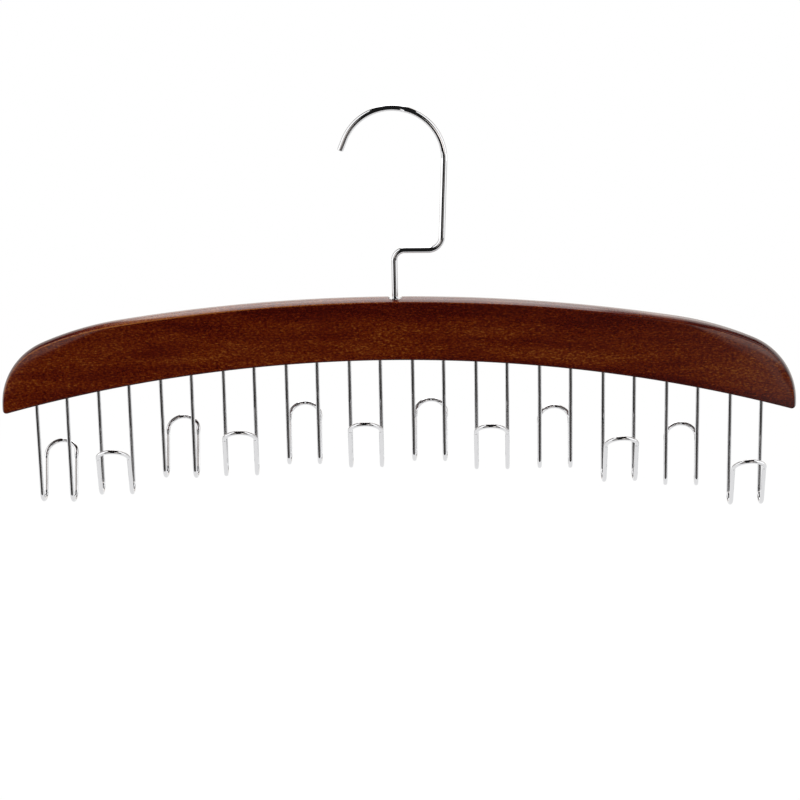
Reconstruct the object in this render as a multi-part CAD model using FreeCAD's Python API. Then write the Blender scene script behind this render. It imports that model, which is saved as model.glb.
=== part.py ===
import FreeCAD, Part
import math
import os

# Wooden tie hanger: a curved wooden arm that turns on a cranked wire hook, with a row of
# wire tie hooks in its underside that face back and front by turns.
# Millimetres and degrees. +X runs along the arm, +Y to the back and +Z up. The origin is
# the point inside the crown of the hook where the rail carries it, above the shank.

# Wooden arm: its outline is a chain of tangent arcs, alike on both sides of the middle
arm_width = 432.0
arm_thickness = 12.0
arm_height = 34.7  # at the middle
underside_radius = 800.0
crown_radius = 960.0
shoulder_radius = 175.0
end_radius = 38.5
end_flat = 1.4  # upright stretch between the end and the nose
nose_radius = 2.6
edge_crown_radius = 14.0  # of the edge all round, which bulges across the thickness
arris_radius = 0.9  # between that edge and the faces

# Swivel hook, bent from one wire and headed at its foot
hook_wire = 3.3
arch_radius = 27.4  # centre line
arch_rise = 75.8  # from the top of the wood to the centre of the arch
arch_end_angle = 158.0  # from the run, over the crown
tip_length = 6.0
tip_round = 0.6
run_lean = 2.4  # outward lean of the run up to the arch
run_bend_radius = 7.5
jog_rise = 26.0  # from the top of the wood to the centre line of the sideways jog
shank_bend_radius = 5.5
head_diameter = 6.0
head_height = 2.0
head_round = 1.2

# Ferrule in the top of the arm and washer in its underside, which carry the shank
flange_diameter = 7.6
flange_height = 0.9
flange_round = 0.6
barrel_diameter = 5.6
barrel_length = 9.0
washer_diameter = 8.4
washer_thickness = 1.0
counterbore_depth = 7.0

# Tie hooks, each bent from one wire with two legs in the wood
tie_hook_count = 12
tie_wire = 2.3
leg_spacing = 16.8
row_margin = 18.7  # from the end of the arm to the first leg
leg_grip = 14.0  # length of leg inside the wood, under the middle of the hook
tie_hook_drop = 58.5  # from the wood to the centre line at the foot
foot_bend_radius = 5.1
riser_length = 17.3
riser_lean = 14.0
arch_bend_radius = 5.0
arch_lean = 48.0

# Fits
running_clearance = 0.05  # round the shank, in the ferrule and the washer
seat_clearance = 0.02  # round what is pressed into the wood
shank_room = 0.3  # round the shank, in the wood
head_play = 0.1  # between the head and the washer
drill_gap = 0.5  # beyond the end of a leg
cut_overrun = 2.0
joint_tolerance = 0.001

# Levels and radii that follow
hook_radius = hook_wire / 2
arch_centre_z = hook_radius - arch_radius
wood_top_z = arch_centre_z - arch_rise
wood_foot_z = wood_top_z - arm_height
jog_z = wood_top_z + jog_rise
flange_drop = edge_crown_radius - math.sqrt(edge_crown_radius ** 2 - (flange_diameter / 2) ** 2)
flange_z = wood_top_z - flange_drop  # the flange sits in the crowned top down to its rim
counterbore_roof_z = wood_foot_z + counterbore_depth
head_top_z = counterbore_roof_z - washer_thickness - head_play
tie_hook_pitch = (arm_width - 2 * row_margin - leg_spacing) / (tie_hook_count - 1)
up = FreeCAD.Vector(0, 0, 1)


def place(x, z, y=0.0):
    return FreeCAD.Vector(x, y, z)


def swing(centre, radius, angle):
    """Point on a circle in the front view, at an angle from straight up towards +X."""
    return centre + place(math.sin(angle), math.cos(angle)) * radius


def line(start, end):
    return Part.LineSegment(start, end).toShape()


def arc(start, middle, end):
    return Part.Arc(start, middle, end).toShape()


def swung_arc(centre, radius, first, last):
    """Arc in the front view between two angles from straight up."""
    ends = [swing(centre, radius, angle) for angle in (first, (first + last) / 2, last)]
    return arc(*ends)


def mirrored(edge):
    return edge.mirror(place(0, 0), place(1, 0))


def rod(diameter, foot_z, top_z, x=0.0):
    """Upright cylinder between two levels."""
    return Part.makeCylinder(diameter / 2, top_z - foot_z, place(x, foot_z), up)


def bent_wire(edges, diameter):
    """Round wire along a chain of tangent lines and arcs."""
    first = edges[0]
    start = first.valueAt(first.FirstParameter)
    heading = first.tangentAt(first.FirstParameter)
    section = Part.Wire(Part.makeCircle(diameter / 2, start, heading))
    return Part.Wire(edges).makePipeShell([section], True, False)


def edges_at(solid, z):
    """Edges that lie flat at one level."""
    boxes = [(edge, edge.BoundBox) for edge in solid.Edges]
    return [edge for edge, box in boxes if max(abs(box.ZMin - z), abs(box.ZMax - z)) < joint_tolerance]


def wood_foot_at(x):
    """Level of the arm's underside."""
    return wood_foot_z - underside_radius + math.sqrt(underside_radius ** 2 - x ** 2)


def tie_hook_places():
    """Middle of each tie hook and the side it faces, +1 for the back."""
    first = -tie_hook_pitch * (tie_hook_count - 1) / 2
    return [(first + tie_hook_pitch * n, 1 - 2 * (n % 2)) for n in range(tie_hook_count)]


def corner_angle(side, other_side, opposite):
    """Angle between two sides of a triangle whose sides are known."""
    return math.acos((side ** 2 + other_side ** 2 - opposite ** 2) / (2 * side * other_side))


def edge_section():
    """Section of the crowned edge at the middle of the arm's top, and its depth."""
    half = arm_thickness / 2
    top = place(0, wood_top_z)
    crown_centre = top - up * edge_crown_radius
    reach = edge_crown_radius - arris_radius
    turn = math.asin((half - arris_radius) / reach)
    arris_z = crown_centre.z + reach * math.cos(turn)

    def around(centre_y, centre_z, radius, angle, side):
        return place(0, centre_z + radius * math.cos(angle), side * (centre_y + radius * math.sin(angle)))

    def arris(side):
        halfway = (turn + math.radians(90)) / 2
        return [
            around(0, crown_centre.z, edge_crown_radius, turn, side),
            around(half - arris_radius, arris_z, arris_radius, halfway, side),
            place(0, arris_z, side * half),
        ]

    front, back = arris(-1), arris(1)
    section = [arc(*front), line(front[2], back[2]), arc(*back), arc(back[0], top, front[0])]
    return Part.Wire(Part.__sortEdges__(section)), wood_top_z - arris_z


def arm_outline(inset):
    """Outline of the arm from the middle of its top, moved in by a distance."""
    half_width = arm_width / 2
    end = math.radians(90)
    # The nose is tangent to the upright end and to the underside
    under_centre = place(0, wood_foot_z - underside_radius)
    nose_x = half_width - nose_radius
    nose_rise = math.sqrt((underside_radius + nose_radius) ** 2 - nose_x ** 2)
    nose_centre = under_centre + place(nose_x, nose_rise)
    under_end = math.atan2(nose_x, nose_rise)
    nose_foot = math.radians(180) + under_end
    # Crown, shoulder and end are tangent, so their centres make a triangle of known sides
    crown_centre = place(0, wood_top_z - crown_radius)
    end_centre = place(half_width - end_radius, nose_centre.z + end_flat)
    crown_arm = crown_radius - shoulder_radius
    end_arm = shoulder_radius - end_radius
    reach = end_centre - crown_centre
    bearing = math.atan2(reach.x, reach.z)
    crown_end = bearing - corner_angle(crown_arm, reach.Length, end_arm)
    shoulder_end = bearing + corner_angle(end_arm, reach.Length, crown_arm)
    shoulder_centre = swing(crown_centre, crown_arm, crown_end)

    end_foot = swing(end_centre, end_radius - inset, end)
    right = [
        swung_arc(crown_centre, crown_radius - inset, 0, crown_end),
        swung_arc(shoulder_centre, shoulder_radius - inset, crown_end, shoulder_end),
        swung_arc(end_centre, end_radius - inset, shoulder_end, end),
        line(end_foot, swing(nose_centre, nose_radius - inset, end)),
        swung_arc(nose_centre, nose_radius - inset, end, nose_foot),
    ]
    underside = swung_arc(under_centre, underside_radius + inset, under_end, -under_end)
    left = [mirrored(edge) for edge in reversed(right)]
    return Part.Wire(Part.__sortEdges__(right + [underside] + left))


def arm_blank():
    """Arm before it is drilled: a flat core in a rim that is swept with the crowned edge."""
    section, depth = edge_section()
    sweep = Part.BRepOffsetAPI.MakePipeShell(arm_outline(0))
    sweep.setBiNormalMode(place(0, 0, 1))
    sweep.add(section)
    sweep.build()
    sweep.makeSolid()
    core = Part.Face(arm_outline(depth))
    core.translate(place(0, 0, -arm_thickness / 2))
    core = core.extrude(place(0, 0, arm_thickness))
    return core.fuse(sweep.shape()).removeSplitter()


def shank_bore():
    """Stepped drill for the flange, the barrel, the shank and the washer, from the top down."""
    steps = [
        (flange_diameter + 2 * seat_clearance, wood_top_z + cut_overrun),
        (barrel_diameter + 2 * seat_clearance, flange_z),
        (hook_wire + 2 * shank_room, wood_top_z - barrel_length),
        (washer_diameter + 2 * seat_clearance, counterbore_roof_z),
    ]
    feet = [z for diameter, z in steps[1:]] + [wood_foot_z - cut_overrun]
    profile = [place(0, steps[0][1])]
    for (diameter, z), foot_z in zip(steps, feet):
        profile += [place(diameter / 2, z), place(diameter / 2, foot_z)]
    profile += [place(0, feet[-1]), profile[0]]
    return Part.Face(Part.makePolygon(profile)).revolve(place(0, 0), up, 360)


def wooden_arm():
    drills = [shank_bore()]
    for middle, side in tie_hook_places():
        for x in (middle - leg_spacing / 2, middle + leg_spacing / 2):
            roof_z = wood_foot_at(middle) + leg_grip + drill_gap
            drills.append(rod(tie_wire + 2 * seat_clearance, wood_foot_at(x) - cut_overrun, roof_z, x))
    return arm_blank().cut(drills)


def swivel_hook():
    lean = math.radians(run_lean)
    arch_end = math.radians(arch_end_angle)
    right = math.radians(90)
    arch_centre = place(0, arch_centre_z)
    arch_first = right + lean
    arch_last = right - arch_end
    # The run is tangent to the arch and to the bend that brings it down to the jog
    bend_z = jog_z + run_bend_radius
    drift = math.sin(lean) * (bend_z - arch_centre_z)
    bend_x = (arch_radius - run_bend_radius + drift) / math.cos(lean)
    bend_centre = place(bend_x, bend_z)
    shank_centre = place(shank_bend_radius, jog_z - shank_bend_radius)
    tip_start = swing(arch_centre, arch_radius, arch_last)
    tip_end = tip_start + place(-math.cos(arch_last), math.sin(arch_last)) * tip_length
    jog_start = swing(shank_centre, shank_bend_radius, 0)
    jog_end = swing(bend_centre, run_bend_radius, 2 * right)
    run_start = swing(bend_centre, run_bend_radius, arch_first)
    run_end = swing(arch_centre, arch_radius, arch_first)
    shank_end = swing(shank_centre, shank_bend_radius, -right)
    wire = bent_wire([
        line(place(0, head_top_z - head_height / 2), shank_end),
        swung_arc(shank_centre, shank_bend_radius, -right, 0),
        line(jog_start, jog_end),
        swung_arc(bend_centre, run_bend_radius, 2 * right, arch_first),
        line(run_start, run_end),
        swung_arc(arch_centre, arch_radius, arch_first, arch_last),
        line(tip_start, tip_end),
    ], hook_wire)
    tip_edges = [edge for edge in wire.Edges if (edge.CenterOfMass - tip_end).Length < joint_tolerance]
    wire = wire.makeFillet(tip_round, tip_edges)
    head = rod(head_diameter, head_top_z - head_height, head_top_z)
    head = head.makeFillet(head_round, edges_at(head, head_top_z - head_height))
    return wire.fuse(head).removeSplitter()


def hook_ferrule():
    flange_top_z = flange_z + flange_height
    flange = rod(flange_diameter, flange_z, flange_top_z)
    flange = flange.makeFillet(flange_round, edges_at(flange, flange_top_z))
    barrel = rod(barrel_diameter, wood_top_z - barrel_length, flange_z)
    bore = rod(hook_wire + 2 * running_clearance, wood_top_z - barrel_length - cut_overrun,
               flange_top_z + cut_overrun)
    return flange.fuse(barrel).removeSplitter().cut(bore)


def hook_washer():
    foot_z = counterbore_roof_z - washer_thickness
    disc = rod(washer_diameter, foot_z, counterbore_roof_z)
    bore = rod(hook_wire + 2 * running_clearance, foot_z - cut_overrun, counterbore_roof_z + cut_overrun)
    return disc.cut(bore)


def tie_hook(middle, side):
    """Twin-legged hook: foot bends, leaning risers and a closed arch that leans further out."""
    lean = math.radians(riser_lean)
    tilt = math.radians(arch_lean)
    half_spacing = leg_spacing / 2
    leg_top_z = wood_foot_at(middle) + leg_grip
    foot_z = wood_foot_at(middle) - tie_hook_drop
    foot_centre_z = foot_z + foot_bend_radius

    # The bends of one leg in the side view: distance out from the legs, and level
    riser_out = foot_bend_radius * (1 + math.cos(lean))
    riser_z = foot_centre_z - foot_bend_radius * math.sin(lean)
    bend_out = riser_out + riser_length * math.sin(lean)
    bend_z = riser_z + riser_length * math.cos(lean)
    halfway = (lean + tilt) / 2

    def along_bend(angle):
        out = bend_out + arch_bend_radius * (math.cos(lean) - math.cos(angle))
        return out, bend_z + arch_bend_radius * (math.sin(angle) - math.sin(lean))

    arch_out, arch_z = along_bend(tilt)
    crown_out = arch_out + half_spacing * math.sin(tilt)
    crown_z = arch_z + half_spacing * math.cos(tilt)

    def corners(x):
        profile = [
            (0, leg_top_z),
            (0, foot_centre_z),
            (foot_bend_radius, foot_z),
            (riser_out, riser_z),
            (bend_out, bend_z),
            along_bend(halfway),
            (arch_out, arch_z),
        ]
        return [place(x, z, side * out) for out, z in profile]

    a = corners(middle - half_spacing)
    b = corners(middle + half_spacing)
    crown = place(middle, crown_z, side * crown_out)
    return bent_wire([
        line(a[0], a[1]),
        arc(a[1], a[2], a[3]),
        line(a[3], a[4]),
        arc(a[4], a[5], a[6]),
        arc(a[6], crown, b[6]),
        arc(b[6], b[5], b[4]),
        line(b[4], b[3]),
        arc(b[3], b[2], b[1]),
        line(b[1], b[0]),
    ], tie_wire)


os.makedirs("parts", exist_ok=True)
shapes = {
    "wooden_arm": wooden_arm(),
    "swivel_hook": swivel_hook(),
    "hook_ferrule": hook_ferrule(),
    "hook_washer": hook_washer(),
}
for number, (middle, side) in enumerate(tie_hook_places(), 1):
    shapes[f"tie_hook_{number:02d}"] = tie_hook(middle, side)
for node, shape in shapes.items():
    shape.exportStep(f"parts/{node}.step")
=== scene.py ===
import math
import bmesh
import bpy
from mathutils import Matrix, Vector


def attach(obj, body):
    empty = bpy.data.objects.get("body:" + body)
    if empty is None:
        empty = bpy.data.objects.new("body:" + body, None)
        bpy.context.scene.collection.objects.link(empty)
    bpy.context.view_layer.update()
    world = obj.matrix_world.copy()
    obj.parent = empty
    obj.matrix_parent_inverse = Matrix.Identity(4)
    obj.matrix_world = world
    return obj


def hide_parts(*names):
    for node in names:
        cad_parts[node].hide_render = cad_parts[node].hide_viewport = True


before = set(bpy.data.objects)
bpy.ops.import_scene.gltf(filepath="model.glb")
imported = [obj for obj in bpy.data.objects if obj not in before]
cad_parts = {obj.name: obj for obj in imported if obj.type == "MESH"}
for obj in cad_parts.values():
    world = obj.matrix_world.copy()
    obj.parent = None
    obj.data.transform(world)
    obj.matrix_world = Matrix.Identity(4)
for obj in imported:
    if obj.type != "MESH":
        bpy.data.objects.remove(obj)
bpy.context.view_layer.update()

# Wooden tie hanger: a stained, lacquered arm that turns on a cranked chromed hook, with a row
# of chromed wire tie hooks in its underside. Metres, in the frame of the solids: +X along the
# arm, +Y to the back, +Z up, origin inside the crown of the hook.

mm = 0.001
quarter = math.radians(90)

# Wooden arm
arm_width = 432.0 * mm
arm_thickness = 12.0 * mm
arm_height = 34.7 * mm
underside_radius = 800.0 * mm
crown_radius = 960.0 * mm
shoulder_radius = 175.0 * mm
end_radius = 38.5 * mm
end_flat = 1.4 * mm
nose_radius = 2.6 * mm
edge_crown_radius = 14.0 * mm
arris_radius = 0.9 * mm
ease_width = 7.5 * mm  # band beside the arris at both ends, sanded back from the faces
ease_depth = 0.6 * mm
ease_fade = math.radians(25.0)  # last part of the end's arc, over which the band runs out
face_margin = 0.4 * mm  # width of that band elsewhere, where it is flat

# Swivel hook
hook_wire = 3.3 * mm
arch_radius = 27.4 * mm
arch_rise = 75.8 * mm
arch_end_angle = math.radians(158.0)
tip_length = 6.0 * mm
tip_round = 0.6 * mm
run_lean = math.radians(2.4)
run_bend_radius = 7.5 * mm
jog_rise = 26.0 * mm
shank_bend_radius = 5.5 * mm
head_diameter = 6.0 * mm
head_height = 2.0 * mm
head_round = 1.2 * mm

# Ferrule and washer seats in the wood
flange_diameter = 7.6 * mm
barrel_diameter = 5.6 * mm
barrel_length = 9.0 * mm
washer_diameter = 8.4 * mm
washer_thickness = 1.0 * mm
counterbore_depth = 7.0 * mm

# Tie hooks
tie_hook_count = 12
tie_wire = 2.3 * mm
leg_spacing = 16.8 * mm
row_margin = 18.7 * mm
leg_grip = 14.0 * mm
tie_hook_drop = 58.5 * mm
foot_bend_radius = 5.1 * mm
riser_length = 17.3 * mm
riser_lean = math.radians(14.0)
arch_bend_radius = 5.0 * mm
arch_lean = math.radians(48.0)
# Degrees by which each wire stands turned, as hand-set wires do
tie_hook_twists = (-4.0, 0.8, -3.0, 3.2, 0.4, 1.4, -2.2, -0.8, 0.3, 3.8, -2.8, 4.0)
twist_start = 1.0 * mm  # below the wood

# Fits
seat_clearance = 0.02 * mm
shank_room = 0.3 * mm
head_play = 0.1 * mm
drill_gap = 0.5 * mm
cut_overrun = 2.0 * mm

# Fineness of the meshes
outline_step = 1.5 * mm
fewest_steps = 10  # on a short run of the outline
round_steps = 8  # on the rounds of the hook's head and tip
hook_wire_sides = 40
tie_wire_sides = 28
drill_sides = 32
crisp_angle = quarter / 3
weld_distance = 0.001 * mm
step_gap = 10 * weld_distance  # from the step between head and shank to the rings beside it
support_gap = 1000 * weld_distance  # from that step to the next ring up the shank

# Levels that follow
arch_centre_z = hook_wire / 2 - arch_radius
wood_top_z = arch_centre_z - arch_rise
wood_foot_z = wood_top_z - arm_height
jog_z = wood_top_z + jog_rise
flange_drop = edge_crown_radius - math.sqrt(edge_crown_radius ** 2 - (flange_diameter / 2) ** 2)
flange_z = wood_top_z - flange_drop
counterbore_roof_z = wood_foot_z + counterbore_depth
head_top_z = counterbore_roof_z - washer_thickness - head_play
tie_hook_pitch = (arm_width - 2 * row_margin - leg_spacing) / (tie_hook_count - 1)

# Colours: the dark and bright tone of each plating, and the stops of the stain
chrome_tones = (0.50, 0.50, 0.51, 1), (0.74, 0.74, 0.75, 1)
zinc_tones = (0.34, 0.34, 0.35, 1), (0.55, 0.55, 0.56, 1)
stain_stops = (
    (0.0, (0.027, 0.0010, 0.0002, 1)),
    (0.3, (0.048, 0.0027, 0.0003, 1)),
    (0.55, (0.076, 0.0082, 0.0005, 1)),
    (0.75, (0.101, 0.0168, 0.0011, 1)),
    (1.0, (0.170, 0.0510, 0.0080, 1)),
)
stain_middle = 0.53  # place on those stops of plain wood


# Node trees

def fill(tree, node, inputs):
    """Links or sets a node's inputs, given by name or number."""
    for name, value in inputs.items():
        socket = node.inputs[name]
        if isinstance(value, bpy.types.NodeSocket):
            tree.links.new(value, socket)
        else:
            socket.default_value = value
    return node


def add(tree, kind, inputs=None, **settings):
    node = tree.nodes.new(kind)
    for name, value in settings.items():
        setattr(node, name, value)
    return fill(tree, node, inputs or {})


def calc(tree, operation, *values):
    node = add(tree, "ShaderNodeMath", dict(enumerate(values)), operation=operation)
    return node.outputs[0]


def calc_vector(tree, operation, *values):
    node = add(tree, "ShaderNodeVectorMath", dict(enumerate(values)), operation=operation)
    return node.outputs[0]


def scaled(tree, vector, factor):
    inputs = {0: vector, "Scale": factor}
    return add(tree, "ShaderNodeVectorMath", inputs, operation="SCALE").outputs[0]


def weighted(tree, total, *terms):
    """A start value plus terms, each a value and its weight."""
    for value, weight in terms:
        total = calc(tree, "MULTIPLY_ADD", value, weight, total)
    return total


def product(tree, total, *factors):
    for factor in factors:
        total = calc(tree, "MULTIPLY", total, factor)
    return total


def combined(tree, **parts):
    return add(tree, "ShaderNodeCombineXYZ", parts).outputs[0]


def separated(tree, vector):
    return add(tree, "ShaderNodeSeparateXYZ", {0: vector}).outputs


def ranged(tree, value, start, full, first=0.0, last=1.0, smooth=False):
    """Runs from the first level to the last while a value goes from its start to its full mark."""
    return add(tree, "ShaderNodeMapRange", {
        "Value": value, "From Min": start, "From Max": full, "To Min": first, "To Max": last,
    }, interpolation_type="SMOOTHSTEP" if smooth else "LINEAR").outputs[0]


def noise(tree, place, detail, scale=1.0, roughness=0.5, distortion=0.0):
    return add(tree, "ShaderNodeTexNoise", {
        "Vector": place, "Scale": scale, "Detail": detail,
        "Roughness": roughness, "Distortion": distortion,
    }).outputs["Fac"]


def spots(tree, place, rim, core, scale=1.0, rarity=None, smooth=False):
    """Scattered spots that rise from rim to core, in the cells that pass the rarity."""
    cells = add(tree, "ShaderNodeTexVoronoi", {"Vector": place, "Scale": scale}).outputs
    spot = ranged(tree, cells["Distance"], rim, core, smooth=smooth)
    if rarity is None:
        return spot
    return product(
        tree, spot, calc(tree, "GREATER_THAN", separated(tree, cells["Color"])["X"], rarity))


def new_group(name, kind, inputs, outputs):
    """Node group with named sockets: each a name, a socket type and, for inputs, a value."""
    tree = bpy.data.node_groups.new(name, kind)
    for label, socket, *value in inputs:
        made = tree.interface.new_socket(label, in_out="INPUT", socket_type="NodeSocket" + socket)
        if value:
            made.default_value = value[0]
    for label, socket in outputs:
        tree.interface.new_socket(label, in_out="OUTPUT", socket_type="NodeSocket" + socket)
    return tree, tree.nodes.new("NodeGroupInput").outputs, tree.nodes.new("NodeGroupOutput")


def read(tree, attribute):
    return add(tree, "GeometryNodeInputNamedAttribute", {"Name": attribute}).outputs[0]


def capture(tree, geometry, **fields):
    """Keeps fields on the points of a geometry and returns it with the kept values."""
    node = add(tree, "GeometryNodeCaptureAttribute")
    for name, (kind, field) in fields.items():
        node.capture_items.new(kind, name)
        tree.links.new(field, node.inputs[name])
    tree.links.new(geometry, node.inputs["Geometry"])
    return node.outputs


def welded(tree, geometry):
    inputs = {"Geometry": geometry, "Distance": weld_distance}
    return add(tree, "GeometryNodeMergeByDistance", inputs).outputs[0]


def finished(tree, geometry, material, out):
    """Ends a tree with plain geometry that carries its material."""
    whole = add(tree, "GeometryNodeRealizeInstances", {"Geometry": geometry}).outputs[0]
    dressed = add(tree, "GeometryNodeSetMaterial", {"Geometry": whole, "Material": material})
    tree.links.new(dressed.outputs[0], out.inputs[0])


def bent_wire_tree():
    """Round wire along a chain of corners, each bent to its own radius."""
    tree, given, out = new_group("bent_wire", "GeometryNodeTree", [
        ("Corners", "Geometry"),
        ("Bend Steps", "Int", 24),
        ("Sides", "Int", 24),
        ("Finish", "Material"),
    ], [("Wire", "Geometry")])
    chain = add(tree, "GeometryNodeMeshToCurve", {"Mesh": given["Corners"]}).outputs[0]
    bent = add(tree, "GeometryNodeFilletCurve", {
        "Curve": chain, "Count": given["Bend Steps"], "Radius": read(tree, "bend_radius"),
    }, mode="POLY").outputs[0]
    length = add(tree, "GeometryNodeSplineParameter").outputs["Length"]
    size = read(tree, "wire_radius")
    path = capture(tree, bent, along=("FLOAT", length), size=("FLOAT", size))
    ring = add(tree, "GeometryNodeCurvePrimitiveCircle", {
        "Resolution": given["Sides"], "Radius": 1.0,
    }).outputs[0]
    place = add(tree, "GeometryNodeInputPosition").outputs[0]
    section = capture(tree, ring, around=("VECTOR", place))
    tube = add(tree, "GeometryNodeCurveToMesh", {
        "Curve": path["Geometry"], "Profile Curve": section["Geometry"],
        "Scale": path["size"], "Fill Caps": True,
    }).outputs[0]
    # Place along the wire and round it, for marks that follow the drawing of the wire
    turn = scaled(tree, section["around"], path["size"])
    drawn = calc_vector(tree, "ADD", turn, combined(tree, Z=path["along"]))
    marked = add(tree, "GeometryNodeStoreNamedAttribute", {
        "Geometry": tube, "Name": "drawn", "Value": drawn,
    }, data_type="FLOAT_VECTOR", domain="POINT").outputs[0]
    whole = welded(tree, marked)
    smooth = add(tree, "GeometryNodeSetShadeSmooth", {"Geometry": whole}).outputs[0]
    finished(tree, smooth, given["Finish"], out)
    return tree


def crowned_board_tree():
    """Drilled board of any flat outline, with a crowned edge and a band eased off its faces."""
    tree, given, out = new_group("crowned_board", "GeometryNodeTree", [
        ("Outline", "Geometry"),
        ("Thickness", "Float", 0.01),
        ("Crown Radius", "Float", 0.014),
        ("Arris Radius", "Float", 0.001),
        ("Crown Steps", "Int", 12),
        ("Arris Steps", "Int", 6),
        ("Ease Steps", "Int", 8),
        ("Finish", "Material"),
    ], [("Board", "Geometry")])
    drill_size = read(tree, "drill_diameter")
    parted = add(tree, "GeometryNodeSeparateGeometry", {
        "Geometry": given["Outline"], "Selection": calc(tree, "GREATER_THAN", drill_size, 0.0),
    }, domain="POINT").outputs
    loop = add(tree, "GeometryNodeMeshToCurve", {"Mesh": parted["Inverted"]}).outputs[0]
    tangent = add(tree, "GeometryNodeInputTangent").outputs[0]
    inward = calc_vector(tree, "CROSS_PRODUCT", (0.0, 0.0, 1.0), tangent)
    place = add(tree, "GeometryNodeInputPosition").outputs[0]
    edge = capture(tree, loop, place=("VECTOR", place), inward=("VECTOR", inward),
                   width=("FLOAT", read(tree, "ease_width")),
                   depth=("FLOAT", read(tree, "ease_depth")))

    # The section runs from face to face: eased band, arris, crown, arris and eased band
    crown_steps = calc(tree, "DIVIDE", given["Crown Steps"], 2.0)
    flank_steps = calc(tree, "ADD", crown_steps, given["Arris Steps"])
    reach_steps = calc(tree, "ADD", flank_steps, given["Ease Steps"])
    index = add(tree, "GeometryNodeInputIndex").outputs[0]
    from_top = calc(tree, "SUBTRACT", index, reach_steps)
    away = calc(tree, "ABSOLUTE", from_top)

    def stretch(first, steps):
        passed = calc(tree, "DIVIDE", calc(tree, "SUBTRACT", away, first), steps)
        return add(tree, "ShaderNodeClamp", {"Value": passed}).outputs[0]

    count = calc(tree, "MULTIPLY_ADD", reach_steps, 2.0, 1.0)
    line = add(tree, "GeometryNodeMeshLine", {"Count": count}).outputs[0]
    strip = add(tree, "GeometryNodeMeshToCurve", {"Mesh": line}).outputs[0]
    section = capture(tree, strip, flank=("FLOAT", calc(tree, "SIGN", from_top)),
                      crown=("FLOAT", stretch(0.0, crown_steps)),
                      arris=("FLOAT", stretch(crown_steps, given["Arris Steps"])),
                      ease=("FLOAT", stretch(flank_steps, given["Ease Steps"])))
    sweep = add(tree, "GeometryNodeCurveToMesh", {
        "Curve": edge["Geometry"], "Profile Curve": section["Geometry"],
    }).outputs[0]
    half = calc(tree, "DIVIDE", given["Thickness"], 2.0)
    reach = calc(tree, "SUBTRACT", given["Crown Radius"], given["Arris Radius"])
    double_depth = calc(tree, "MULTIPLY", edge["depth"], 2.0)
    slope = calc(tree, "ARCTANGENT", calc(tree, "DIVIDE", double_depth, edge["width"]))
    face_turn = calc(tree, "SUBTRACT", quarter, slope)
    arris_reach = calc(tree, "MULTIPLY", given["Arris Radius"], calc(tree, "SINE", face_turn))
    eased_half = calc(tree, "SUBTRACT", half, edge["depth"])
    arris_across = calc(tree, "SUBTRACT", eased_half, arris_reach)
    crown_turn = calc(tree, "ARCSINE", calc(tree, "DIVIDE", arris_across, reach))
    arris_turn = calc(tree, "SUBTRACT", face_turn, crown_turn)

    def on_section(crown, arris, ease):
        """Distance from the middle of the thickness, and place in plane, at three shares."""
        turn = calc(tree, "MULTIPLY", crown, crown_turn)
        lean = calc(tree, "MULTIPLY_ADD", arris, arris_turn, turn)
        left = calc(tree, "POWER", calc(tree, "SUBTRACT", 1.0, ease), 2.0)
        eased = calc(tree, "MULTIPLY", edge["depth"], calc(tree, "SUBTRACT", 1.0, left))

        def radii(operation):
            return (calc(tree, "MULTIPLY", reach, calc(tree, operation, turn)),
                    calc(tree, "MULTIPLY", given["Arris Radius"], calc(tree, operation, lean)))

        crown_part, arris_part = radii("SINE")
        across = calc(tree, "ADD", crown_part, calc(tree, "ADD", arris_part, eased))
        fall = calc(tree, "SUBTRACT", given["Crown Radius"], calc(tree, "ADD", *radii("COSINE")))
        inset = calc(tree, "MULTIPLY_ADD", ease, edge["width"], fall)
        in_plane = calc_vector(tree, "ADD", edge["place"], scaled(tree, edge["inward"], inset))
        return across, in_plane

    across, in_plane = on_section(section["crown"], section["arris"], section["ease"])
    lift = combined(tree, Z=calc(tree, "MULTIPLY", across, section["flank"]))
    rim = add(tree, "GeometryNodeSetPosition", {
        "Geometry": sweep, "Position": calc_vector(tree, "ADD", in_plane, lift),
    }).outputs[0]

    # Flat faces inside the eased band
    inner_loop = add(tree, "GeometryNodeSetPosition", {
        "Geometry": edge["Geometry"], "Position": on_section(1.0, 1.0, 1.0)[1],
    }).outputs[0]
    face = add(tree, "GeometryNodeFillCurve", {"Curve": inner_loop}, mode="TRIANGLES").outputs[0]
    joined = add(tree, "GeometryNodeJoinGeometry")
    tree.links.new(rim, joined.inputs[0])
    for side in (-1.0, 1.0):
        moved = add(tree, "GeometryNodeTransform", {
            "Geometry": face, "Translation": combined(tree, Z=calc(tree, "MULTIPLY", half, side)),
        }).outputs[0]
        if side < 0:
            moved = add(tree, "GeometryNodeFlipFaces", {"Mesh": moved}).outputs[0]
        tree.links.new(moved, joined.inputs[0])
    closed = welded(tree, joined.outputs[0])
    upright = add(tree, "GeometryNodeTransform", {
        "Geometry": closed, "Rotation": (quarter, 0.0, 0.0),
    }).outputs[0]

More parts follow.
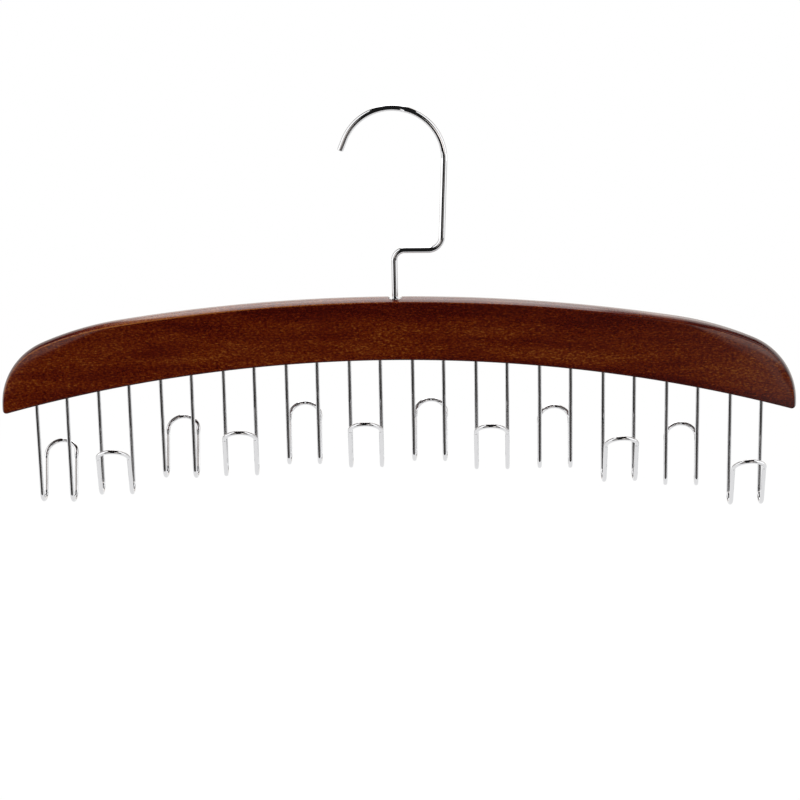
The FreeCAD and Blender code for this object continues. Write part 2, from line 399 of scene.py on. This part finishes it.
    # Holes for the shank, its bearings and the legs of the tie hooks
    drill = add(tree, "GeometryNodeMeshCylinder", {
        "Vertices": drill_sides, "Radius": 0.5, "Depth": 1.0,
    }).outputs[0]
    drill_scale = combined(tree, X=drill_size, Y=drill_size, Z=read(tree, "drill_depth"))
    drills = add(tree, "GeometryNodeInstanceOnPoints", {
        "Points": parted["Selection"], "Instance": drill, "Scale": drill_scale,
    }).outputs[0]
    cutters = add(tree, "GeometryNodeRealizeInstances", {"Geometry": drills}).outputs[0]
    drilled = add(tree, "GeometryNodeMeshBoolean", {"Mesh 1": upright, "Mesh 2": cutters},
                  operation="DIFFERENCE", solver="EXACT").outputs[0]
    smooth = add(tree, "GeometryNodeSetShadeSmooth", {"Geometry": drilled}, domain="FACE")
    angle = add(tree, "GeometryNodeInputMeshEdgeAngle").outputs[0]
    crisp = add(tree, "GeometryNodeSetShadeSmooth", {
        "Geometry": smooth.outputs[0], "Shade Smooth": False,
        "Selection": calc(tree, "GREATER_THAN", angle, crisp_angle),
    }, domain="EDGE").outputs[0]
    finished(tree, crisp, given["Finish"], out)
    return tree


# Pieces

def host_mesh(name, points, closed, loose=(), **attributes):
    """Chain of points with an edge from each to the next, then loose points, with values on all."""
    edges = [(n, n + 1) for n in range(len(points) - 1)]
    if closed:
        edges.append((len(points) - 1, 0))
    mesh = bpy.data.meshes.new(name)
    mesh.from_pydata([tuple(p) for p in list(points) + list(loose)], edges, [])
    for label, values in attributes.items():
        layer = mesh.attributes.new(label, "FLOAT", "POINT")
        layer.data.foreach_set("value", values)
    return mesh


def grown(name, mesh, tree, **inputs):
    """Piece made by a geometry tree from a host mesh, as a plain mesh with its faces outward."""
    piece = bpy.data.objects.new(name, mesh)
    bpy.context.scene.collection.objects.link(piece)
    modifier = piece.modifiers.new("shape", "NODES")
    modifier.node_group = tree
    for item in tree.interface.items_tree:
        key = item.name.lower().replace(" ", "_")
        if item.in_out == "INPUT" and key in inputs:
            modifier[item.identifier] = inputs[key]
    depsgraph = bpy.context.evaluated_depsgraph_get()
    plain = bpy.data.meshes.new_from_object(
        piece.evaluated_get(depsgraph), preserve_all_data_layers=True, depsgraph=depsgraph)
    piece.modifiers.remove(modifier)
    piece.data = plain
    plain.name = name
    bpy.data.meshes.remove(mesh)
    work = bmesh.new()
    work.from_mesh(plain)
    bmesh.ops.recalc_face_normals(work, faces=work.faces)
    work.to_mesh(plain)
    work.free()
    return piece


def swing(centre, radius, angle):
    """Point on a circle in the front view, at an angle from straight up towards +X."""
    return centre + Vector((math.sin(angle), 0.0, math.cos(angle))) * radius


def wood_foot_at(x):
    return wood_foot_z - underside_radius + math.sqrt(underside_radius ** 2 - x ** 2)


def corner_angle(side, other_side, opposite):
    return math.acos((side ** 2 + other_side ** 2 - opposite ** 2) / (2 * side * other_side))


def arm_outline():
    """Points round the arm with the share of easing at each, anticlockwise from the front."""
    half_width = arm_width / 2
    under_centre = Vector((0, 0, wood_foot_z - underside_radius))
    nose_x = half_width - nose_radius
    nose_rise = math.sqrt((underside_radius + nose_radius) ** 2 - nose_x ** 2)
    nose_centre = under_centre + Vector((nose_x, 0, nose_rise))
    under_end = math.atan2(nose_x, nose_rise)
    crown_centre = Vector((0, 0, wood_top_z - crown_radius))
    end_centre = Vector((half_width - end_radius, 0, nose_centre.z + end_flat))
    crown_arm = crown_radius - shoulder_radius
    end_arm = shoulder_radius - end_radius
    reach = end_centre - crown_centre
    bearing = math.atan2(reach.x, reach.z)
    crown_end = bearing - corner_angle(crown_arm, reach.length, end_arm)
    shoulder_end = bearing + corner_angle(end_arm, reach.length, crown_arm)
    shoulder_centre = swing(crown_centre, crown_arm, crown_end)
    half = []

    def run(point_at, length, ease_first, ease_last):
        count = max(math.ceil(length / outline_step), fewest_steps)
        for n in range(count):
            share = n / count
            eased = share * share * (3 - 2 * share)
            half.append((point_at(share), ease_first + (ease_last - ease_first) * eased))

    def turn(centre, radius, first, last, ease_first, ease_last):
        run(lambda share: swing(centre, radius, first + (last - first) * share),
            radius * abs(last - first), ease_first, ease_last)

    end_foot = quarter - ease_fade
    turn(crown_centre, crown_radius, 0, crown_end, 0, 0)
    turn(shoulder_centre, shoulder_radius, crown_end, shoulder_end, 0, 1)
    turn(end_centre, end_radius, shoulder_end, end_foot, 1, 1)
    turn(end_centre, end_radius, end_foot, quarter, 1, 0)
    flat_top = swing(end_centre, end_radius, quarter)
    run(lambda share: flat_top - Vector((0, 0, end_flat * share)), end_flat, 0, 0)
    turn(nose_centre, nose_radius, quarter, 2 * quarter + under_end, 0, 0)
    turn(under_centre, underside_radius, under_end, 0, 0, 0)
    foot = (under_centre + Vector((0, 0, underside_radius)), 0)
    left = [(Vector((-p.x, 0, p.z)), share) for p, share in half[1:]]
    return half[:1] + left + [foot] + half[:0:-1]


def tie_hook_places():
    """Middle of each tie hook and the side it faces, +1 for the back."""
    first = -tie_hook_pitch * (tie_hook_count - 1) / 2
    return [(first + tie_hook_pitch * n, 1 - 2 * (n % 2)) for n in range(tie_hook_count)]


def arm_drills():
    """Middle, diameter and depth of each upright hole in the arm."""
    room = 2 * seat_clearance
    holes = [
        (0, flange_z, wood_top_z + cut_overrun, flange_diameter + room),
        (0, wood_top_z - barrel_length, wood_top_z, barrel_diameter + room),
        (0, wood_foot_z, wood_top_z, hook_wire + 2 * shank_room),
        (0, wood_foot_z - cut_overrun, counterbore_roof_z, washer_diameter + room),
    ]
    for middle, _ in tie_hook_places():
        roof_z = wood_foot_at(middle) + leg_grip + drill_gap
        for x in (middle - leg_spacing / 2, middle + leg_spacing / 2):
            holes.append((x, wood_foot_at(x) - cut_overrun, roof_z, tie_wire + room))
    return [(Vector((x, 0, (low + high) / 2)), size, high - low) for x, low, high, size in holes]


def arm_board(tree, finish):
    outline = arm_outline()
    drills = arm_drills()
    shares = [share for p, share in outline]
    undrilled, uneased = [0.0] * len(outline), [0.0] * len(drills)
    mesh = host_mesh(
        "arm_board", [(p.x, p.z, 0.0) for p, share in outline], True,
        [p for p, size, depth in drills],
        ease_width=[face_margin + (ease_width - face_margin) * share for share in shares] + uneased,
        ease_depth=[ease_depth * share for share in shares] + uneased,
        drill_diameter=undrilled + [size for p, size, depth in drills],
        drill_depth=undrilled + [depth for p, size, depth in drills])
    return grown("arm_board", mesh, tree, thickness=arm_thickness, crown_radius=edge_crown_radius,
                 arris_radius=arris_radius, finish=finish)


def bend(centre, radius, along, across, first, last):
    """Corner of a bend: where the straight runs before and after its arc would meet."""
    middle, half = (first + last) / 2, (last - first) / 2
    reach = radius / math.cos(half)
    return centre + (along * math.cos(middle) + across * math.sin(middle)) * reach, radius


def wire_piece(name, tree, finish, corners, sizes, sides):
    mesh = host_mesh(name, [p for p, r in corners], False,
                     bend_radius=[r for p, r in corners], wire_radius=sizes)
    return grown(name, mesh, tree, sides=sides, finish=finish)


def swivel_hook_wire(tree, finish):
    """Hook from its headed foot up the shank, along the jog and over the arch to the tip."""
    up, out = Vector((0, 0, 1)), Vector((1, 0, 0))
    wire, head = hook_wire / 2, head_diameter / 2
    arch_centre = Vector((0, 0, arch_centre_z))
    arch_first, arch_last = quarter + run_lean, quarter - arch_end_angle
    arch_middle = (arch_first + arch_last) / 2
    shank_centre = Vector((shank_bend_radius, 0, jog_z - shank_bend_radius))
    bend_z = jog_z + run_bend_radius
    drift = math.sin(run_lean) * (bend_z - arch_centre_z)
    bend_x = (arch_radius - run_bend_radius + drift) / math.cos(run_lean)
    tip_start = swing(arch_centre, arch_radius, arch_last)
    heading = Vector((-math.cos(arch_last), 0, math.sin(arch_last)))
    tip_end = tip_start + heading * tip_length
    turns = [quarter * n / round_steps for n in range(round_steps + 1)]
    corners, sizes = [], []
    head_foot = head_top_z - head_height
    for turn in turns:
        corners.append((up * (head_foot + head_round * (1 - math.cos(turn))), 0.0))
        sizes.append(head - head_round * (1 - math.sin(turn)))
    # Rings close to the step from head to shank keep the shading of the long shank straight
    for rise, size in ((-step_gap, head), (0, wire), (step_gap, wire), (support_gap, wire)):
        corners.append((up * (head_top_z + rise), 0.0))
        sizes.append(size)
    bends = [
        bend(shank_centre, shank_bend_radius, up, out, -quarter, 0),
        bend(Vector((bend_x, 0, bend_z)), run_bend_radius, up, out, 2 * quarter, arch_first),
        bend(arch_centre, arch_radius, up, out, arch_first, arch_middle),
        bend(arch_centre, arch_radius, up, out, arch_middle, arch_last),
    ]
    corners += bends
    sizes += [wire] * len(bends)
    for turn in turns[::-1]:
        corners.append((tip_end - heading * tip_round * (1 - math.cos(turn)), 0.0))
        sizes.append(wire - tip_round * (1 - math.sin(turn)))
    return wire_piece("swivel_hook_wire", tree, finish, corners, sizes, hook_wire_sides)


def tie_hook_wire(tree, finish, number, middle, side):
    """Tie hook: leg, foot bend, riser and leaning arch, then the same down the other leg."""
    up, out = Vector((0, 0, 1)), Vector((0, side, 0))
    half_spacing = leg_spacing / 2
    foot_z = wood_foot_at(middle) - tie_hook_drop
    foot_centre = out * foot_bend_radius + up * (foot_z + foot_bend_radius)
    riser = out * math.sin(riser_lean) + up * math.cos(riser_lean)
    arch = out * math.sin(arch_lean) + up * math.cos(arch_lean)
    off_riser = out * math.cos(riser_lean) - up * math.sin(riser_lean)
    off_arch = out * math.cos(arch_lean) - up * math.sin(arch_lean)
    riser_start = foot_centre + off_riser * foot_bend_radius
    bend_start = riser_start + riser * riser_length
    bend_centre = bend_start + off_riser * arch_bend_radius
    arch_start = bend_centre - off_arch * arch_bend_radius
    below = [
        bend(foot_centre, foot_bend_radius, -out, -up, 0, quarter),
        bend(foot_centre, foot_bend_radius, -out, -up, quarter, 2 * quarter - riser_lean),
        bend(bend_centre, arch_bend_radius, -out, up, riser_lean, arch_lean),
        (arch_start + arch * half_spacing, half_spacing),
    ]
    twist = Matrix.Rotation(math.radians(tie_hook_twists[number - 1]), 3, "Z")

    def leg(offset):
        across, along = Vector((offset, 0, 0)), Vector((middle, 0, 0))
        root = Vector((middle + offset, 0, wood_foot_at(middle + offset) - twist_start))
        top = Vector((root.x, 0, wood_foot_at(middle) + leg_grip))
        return [(top, 0.0), (root, 0.0)] + [(twist @ (p + across) + along, r) for p, r in below]

    corners = leg(-half_spacing) + leg(half_spacing)[::-1]
    sizes = [tie_wire / 2] * len(corners)
    return wire_piece(f"tie_hook_wire_{number:02d}", tree, finish, corners, sizes, tie_wire_sides)


# Finishes. Patterns are laid out in millimetres

def handling_group():
    """Faint smears and dust that hands leave on a polished surface."""
    tree, given, out = new_group("handling", "ShaderNodeTree", [
        ("Place", "Vector"), ("Smear Size", "Float", 30.0),
    ], [("Smear", "Float"), ("Dust", "Float")])
    place = scaled(tree, given["Place"], 1 / mm)
    smear_place = calc_vector(tree, "DIVIDE", place, given["Smear Size"])
    smear = noise(tree, smear_place, detail=4.0, roughness=0.6, distortion=0.8)
    fill(tree, out, {
        "Smear": ranged(tree, smear, start=0.38, full=0.66, smooth=True),
        "Dust": spots(tree, place, rim=0.10, core=0.03, scale=0.8, rarity=0.82),
    })
    return tree


def plated_finish_group():
    """Bright plating over drawn wire: fine lines along Z, haze and a few pits."""
    tree, given, out = new_group("plated_finish", "ShaderNodeTree", [
        ("Place", "Vector"), ("Line Length", "Float", 8.0), ("Line Pitch", "Float", 0.2),
        ("Gloss Low", "Float", 0.04), ("Gloss High", "Float", 0.14),
    ], [("Tone", "Float"), ("Roughness", "Float"), ("Height", "Float")])
    place = scaled(tree, given["Place"], 1 / mm)
    pitch = given["Line Pitch"]
    grid = combined(tree, X=pitch, Y=pitch, Z=given["Line Length"])
    lines = noise(tree, calc_vector(tree, "DIVIDE", place, grid), detail=2.0, roughness=0.55)
    ripple = noise(tree, place, detail=1.0, scale=0.16)
    haze = noise(tree, place, detail=3.0, scale=0.45)
    pit = spots(tree, place, rim=0.09, core=0.04, scale=0.7)
    veil = weighted(tree, 0.0, (haze, 0.7), (lines, 0.3))
    plain_tone = 0.72
    fill(tree, out, {
        "Tone": weighted(tree, plain_tone, (lines, 0.3), (pit, -0.5)),
        "Roughness": ranged(tree, veil, start=0.35, full=0.65,
                            first=given["Gloss Low"], last=given["Gloss High"]),
        "Height": weighted(tree, ripple, (lines, 0.25), (pit, -0.5)),
    })
    return tree


def wood_grain_group():
    """Straight grain along X: broad figure, fibres, mottle, dark pores and pale flecks."""
    tree, given, out = new_group("wood_grain", "ShaderNodeTree", [
        ("Place", "Vector"), ("Figure Length", "Float", 60.0), ("Figure Width", "Float", 9.0),
        ("Fibre Length", "Float", 3.4), ("Fibre Width", "Float", 0.6),
        ("Pore Length", "Float", 1.5), ("Pore Width", "Float", 0.42),
    ], [(name, "Float") for name in ("Figure", "Fibre", "Mottle", "Pore", "Fleck")])
    place = scaled(tree, given["Place"], 1 / mm)

    def along_grain(length, width, shift=0.0):
        grid = combined(tree, X=length, Y=width, Z=width)
        cells = calc_vector(tree, "DIVIDE", place, grid)
        return calc_vector(tree, "ADD", cells, (shift, shift, shift))

    def dashes(shift, rarity):
        cells = along_grain(given["Pore Length"], given["Pore Width"], shift)
        return spots(tree, cells, rim=0.42, core=0.16, rarity=rarity, smooth=True)

    figure_place = along_grain(given["Figure Length"], given["Figure Width"])
    fibre_place = along_grain(given["Fibre Length"], given["Fibre Width"], shift=7.0)
    mottle_width = calc(tree, "MULTIPLY", given["Pore Width"], 2.0)
    mottle_place = along_grain(given["Pore Length"], mottle_width, shift=3.0)
    fill(tree, out, {
        "Figure": noise(tree, figure_place, detail=3.0, roughness=0.55, distortion=0.6),
        "Fibre": noise(tree, fibre_place, detail=3.0, roughness=0.6),
        "Mottle": noise(tree, mottle_place, detail=2.0),
        "Pore": dashes(shift=0.0, rarity=0.55),
        "Fleck": dashes(shift=11.0, rarity=0.7),
    })
    return tree


def new_material(name):
    material = bpy.data.materials.new(name)
    material.use_nodes = True
    tree = material.node_tree
    return material, tree, tree.nodes["Principled BSDF"]


def group(tree, shared, inputs):
    return add(tree, "ShaderNodeGroup", inputs, node_tree=shared).outputs


def object_place(tree):
    return add(tree, "ShaderNodeTexCoord").outputs["Object"]


def plated_metal(name, plating, handling, tones, gloss, bump, along_wire=False):
    material, tree, shader = new_material(name)
    place = object_place(tree)
    if along_wire:
        place = add(tree, "ShaderNodeAttribute", attribute_name="drawn").outputs["Vector"]
    finish = group(tree, plating, {"Place": place, "Gloss Low": gloss[0], "Gloss High": gloss[1]})
    hands = group(tree, handling, {"Place": object_place(tree), "Smear Size": 14.0})
    # The colour sockets of this node are 6 and 7, and its colour comes out of 2
    tone = add(tree, "ShaderNodeMix", {"Factor": finish["Tone"]}, data_type="RGBA")
    tone.inputs[6].default_value, tone.inputs[7].default_value = tones
    relief = add(tree, "ShaderNodeBump", {
        "Height": finish["Height"], "Strength": bump, "Distance": 0.05 * mm,
    }).outputs[0]
    fill(tree, shader, {
        "Base Color": tone.outputs[2], "Metallic": 1.0, "Normal": relief,
        "Roughness": weighted(
            tree, finish["Roughness"], (hands["Smear"], 0.04), (hands["Dust"], 0.2)),
    })
    return material


def stained_wood(grain, handling):
    """Reddish-brown stain under lacquer, with painted shade towards the crown and painted light on
    the rubbed edges.
    """
    material, tree, shader = new_material("stained_wood_finish")
    place = object_place(tree)
    figure = group(tree, grain, {"Place": place})
    hands = group(tree, handling, {"Place": place, "Smear Size": 45.0})
    axes = separated(tree, place)
    normal = separated(tree, add(tree, "ShaderNodeTexCoord").outputs["Normal"])
    # Height above the underside as a share of the board
    sag = calc(tree, "DIVIDE", calc(tree, "MULTIPLY", axes["X"], axes["X"]), 2 * underside_radius)
    rise = calc(tree, "ADD", calc(tree, "SUBTRACT", axes["Z"], wood_foot_z), sag)
    height = calc(tree, "DIVIDE", rise, arm_height)
    from_middle = calc(tree, "ABSOLUTE", axes["X"])
    flatness = calc(tree, "ABSOLUTE", normal["Y"])

    def share(value, start, full, first=0.0, last=1.0):
        return ranged(tree, value, start, full, first, last, smooth=True)

    # Share that grows towards the left end, where the painted light is strongest
    def leftward(first):
        return share(axes["X"], arm_width / 4, -arm_width / 4, first)

    edge = share(flatness, start=0.97, full=0.72)
    # Painted light on the upward-facing edges, strongest at the left, together with real rubbing of
    # the stain there
    rubbed_and_painted_light = product(
        tree, edge, share(normal["Z"], start=-0.1, full=0.3), leftward(0.45),
        share(from_middle, start=0.13, full=0.195, first=1.0, last=0.15))
    # Painted highlight: a pale line along the upper arris, most at the left
    painted_arris_highlight = product(
        tree, share(flatness, start=0.45, full=0.62), share(flatness, start=0.99, full=0.95),
        leftward(0.0), share(normal["Z"], start=0.0, full=0.25))
    # Painted shade along the foot of the faces, weaker towards the left end
    foot = product(
        tree, share(height, start=0.19, full=0.03),
        share(axes["X"], start=-0.03, full=0.1, first=0.2))
    underside = share(normal["Z"], start=-0.1, full=-0.55)
    # Painted shade on the edges near both ends, together with end grain there that takes more stain
    end_grain_and_painted_shade = product(tree, edge, share(from_middle, start=0.13, full=0.19))
    # Painted shade high on the faces, weaker towards the ends
    painted_upper_shade = product(
        tree, share(height, start=0.45, full=0.92),
        share(from_middle, start=0.09, full=0.19, first=1.0, last=0.3))

    def centred(name):
        return calc(tree, "SUBTRACT", figure[name], 0.5)

    tone = weighted(
        tree, stain_middle,
        (centred("Figure"), 1.0),
        (centred("Fibre"), 1.25),
        (centred("Mottle"), 1.65),
        (painted_upper_shade, -0.26),
        (figure["Fleck"], 0.2),
        (figure["Pore"], -0.3),
        (rubbed_and_painted_light, 0.4),
        (painted_arris_highlight, 0.7),
        (foot, -0.4),
        (underside, -0.55),
        (end_grain_and_painted_shade, -0.5))
    ramp = add(tree, "ShaderNodeValToRGB", {"Fac": tone})
    stops = ramp.color_ramp.elements
    stops[0].position, stops[0].color = stain_stops[0]
    stops[1].position, stops[1].color = stain_stops[-1]
    for position, colour in stain_stops[1:-1]:
        stops.new(position).color = colour
    bump = add(tree, "ShaderNodeBump", {
        "Height": weighted(tree, 0.0, (figure["Pore"], -0.6), (figure["Fibre"], 0.35)),
        "Strength": 0.25, "Distance": 0.04 * mm,
    }).outputs[0]
    # The lacquer is thin under the arm
    coat, lacquer_gloss = 0.7, 0.26
    fill(tree, shader, {
        "Base Color": ramp.outputs[0], "Normal": bump, "Specular IOR Level": 0.12,
        "Coat Roughness": 0.11, "Coat Weight": weighted(tree, coat, (underside, -coat)),
        "Roughness": weighted(
            tree, lacquer_gloss, (hands["Smear"], 0.06), (figure["Pore"], 0.12),
            (underside, 0.4), (hands["Dust"], 0.15)),
    })
    return material


# Stage

def staged(name, data):
    thing = bpy.data.objects.new(name, data)
    bpy.context.scene.collection.objects.link(thing)
    return thing


def softbox(name, place, target, size, radiance, tint=(1, 1, 1), seen=True):
    """Soft area lamp of an even radiance, which mirrors show if it is to be seen."""
    width, height = size
    lamp = bpy.data.lights.new(name, "AREA")
    lamp.shape = "RECTANGLE"
    lamp.size, lamp.size_y = width, height
    lamp.energy = radiance * math.pi * width * height
    lamp.color = tint
    thing = staged(name, lamp)
    facing = (Vector(target) - Vector(place)).to_track_quat("-Z", "Y")
    thing.matrix_world = Matrix.Translation(place) @ facing.to_matrix().to_4x4()
    thing.visible_camera = False
    thing.visible_glossy = seen


def floor():
    """Pale table under the hanger, which is white to the rays that show the background."""
    low, front, back, side = -0.39, -0.26, 0.8, 3.0
    corners = [(-side, front, low), (side, front, low), (side, back, low), (-side, back, low)]
    mesh = bpy.data.meshes.new("floor")
    mesh.from_pydata(corners, [], [(0, 1, 2, 3)])
    thing = staged("floor", mesh)
    material, tree, shader = new_material("pale_floor")
    fill(tree, shader, {"Base Color": (0.82, 0.82, 0.82, 1), "Roughness": 0.9})
    glow = add(tree, "ShaderNodeEmission", {"Strength": 1.0}).outputs[0]
    # Camera, mirror and clear rays show the background
    path = add(tree, "ShaderNodeLightPath").outputs
    shown = calc(tree, "MAXIMUM", path["Is Camera Ray"], path["Is Glossy Ray"])
    shown = calc(tree, "MAXIMUM", shown, path["Is Transmission Ray"])
    # The table fades into the white of the room at its back edge
    depth = separated(tree, object_place(tree))["Y"]
    faded = ranged(tree, depth, start=0.2, full=back, first=0.95)
    mix = add(tree, "ShaderNodeMixShader", {
        "Fac": calc(tree, "MULTIPLY", shown, faded), 1: shader.outputs[0], 2: glow,
    })
    tree.links.new(mix.outputs[0], tree.nodes["Material Output"].inputs["Surface"])
    mesh.materials.append(material)


def studio():
    """Dim room with softboxes beside and behind, cards in front and soft light from above."""
    world = bpy.data.worlds.new("studio")
    bpy.context.scene.world = world
    world.use_nodes = True
    tree = world.node_tree
    dim = 0.015
    on_camera = add(tree, "ShaderNodeLightPath").outputs["Is Camera Ray"]
    fill(tree, tree.nodes["Background"], {
        "Color": (1, 1, 1, 1), "Strength": calc(tree, "MAXIMUM", on_camera, dim),
    })
    middle = (0, 0, -0.12)
    warm, pale = (1.0, 0.93, 0.88), (1.0, 0.95, 0.91)
    for side, name, card, backdrop in ((-1, "left", 0.9, 0.65), (1, "right", 1.0, 0.95)):
        softbox(name + "_softbox", place=(1.5 * side, -0.25, 0.94), target=(0, -0.25, 0.94),
                size=(2.0, 3.12), radiance=1.45)
        softbox(name + "_card", place=(1.1 * side, -2.0, -0.05), target=(0, 0, -0.05),
                size=(1.0, 0.7), radiance=card, tint=warm)
        softbox(name + "_backdrop", place=(1.9 * side, 2.5, 0.135), target=(1.9 * side, 0, 0.135),
                size=(2.0, 2.07), radiance=backdrop, tint=pale)
    softbox("right_fringe", place=(0.62, -2.2, -0.8), target=middle,
            size=(0.4, 0.7), radiance=0.55, tint=warm)
    softbox("right_edge_card", place=(0.62, -2.2, -0.18), target=middle,
            size=(0.7, 0.46), radiance=1.4, tint=warm)
    softbox("right_top_softbox", place=(0.575, 1.48, 0.81), target=(0.15, 0, -0.12),
            size=(0.45, 0.8), radiance=1.4, tint=pale)
    softbox("backdrop", place=(0, 2.5, 0.135), target=(0, 0, 0.135),
            size=(1.8, 2.07), radiance=0.95, tint=pale)
    softbox("back_softbox", place=(0, 2.4, 0.72), target=(0, 0, 0.72),
            size=(1.6, 1.04), radiance=0.45, tint=pale)
    softbox("top_softbox", place=(-0.1, 1.05, 1.27), target=middle,
            size=(1.0, 1.5), radiance=2.6)
    softbox("top_fill", place=(-0.7, 0.2, 1.6), target=middle,
            size=(2.4, 1.6), radiance=2.6, seen=False)
    softbox("front_fill", place=(-0.8, -2.2, 0.9), target=middle,
            size=(2.6, 1.6), radiance=3.7, seen=False)


def camera():
    """Camera at the photograph's angle: a long lens a little above, turned and rolled slightly."""
    pitch, turn, roll = math.radians(17.5), math.radians(2.282), math.radians(1.075)
    distance = 1445.4 * mm
    focal_pixels, picture_pixels = 2657.0, 800.0
    target_x, target_drop = 1.61 * mm, 23.27 * mm
    target = Vector((target_x, 0, wood_foot_z - target_drop))
    forward = Vector((0, math.cos(pitch), -math.sin(pitch)))
    above = Vector((0, math.sin(pitch), math.cos(pitch)))
    right = Vector((1, 0, 0))
    across = right * math.cos(roll) - above * math.sin(roll)
    upward = right * math.sin(roll) + above * math.cos(roll)
    axes = Matrix((across, upward, -forward)).transposed().to_4x4()
    lens = bpy.data.cameras.new("camera")
    lens.sensor_width = 36.0
    lens.lens = lens.sensor_width * (focal_pixels / picture_pixels)
    lens.clip_start = 0.01
    thing = staged("camera", lens)
    stand = Matrix.Translation(target - forward * distance)
    thing.matrix_world = Matrix.Rotation(turn, 4, "Z") @ stand @ axes
    bpy.context.scene.camera = thing


def dress(piece, body, node):
    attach(piece, body)
    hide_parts(node)


bpy.context.scene.view_settings.view_transform = "Standard"
handling = handling_group()
plating = plated_finish_group()
wire_chrome = plated_metal("chromed_wire_finish", plating, handling, chrome_tones,
                           gloss=(0.02, 0.06), bump=0.05, along_wire=True)
trim_chrome = plated_metal("chromed_trim_finish", plating, handling, chrome_tones,
                           gloss=(0.05, 0.12), bump=0.10)
zinc = plated_metal("zinc_plate_finish", plating, handling, zinc_tones,
                    gloss=(0.28, 0.42), bump=0.3)
lacquered = stained_wood(wood_grain_group(), handling)

wire_tree = bent_wire_tree()
dress(arm_board(crowned_board_tree(), lacquered), "arm", "wooden_arm")
dress(swivel_hook_wire(wire_tree, wire_chrome), "hook", "swivel_hook")
for number, (middle, side) in enumerate(tie_hook_places(), 1):
    wire = tie_hook_wire(wire_tree, wire_chrome, number, middle, side)
    dress(wire, "arm", f"tie_hook_{number:02d}")
for node, finish in (("hook_ferrule", trim_chrome), ("hook_washer", zinc)):
    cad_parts[node].material_slots[0].material = finish

floor()
studio()
camera()
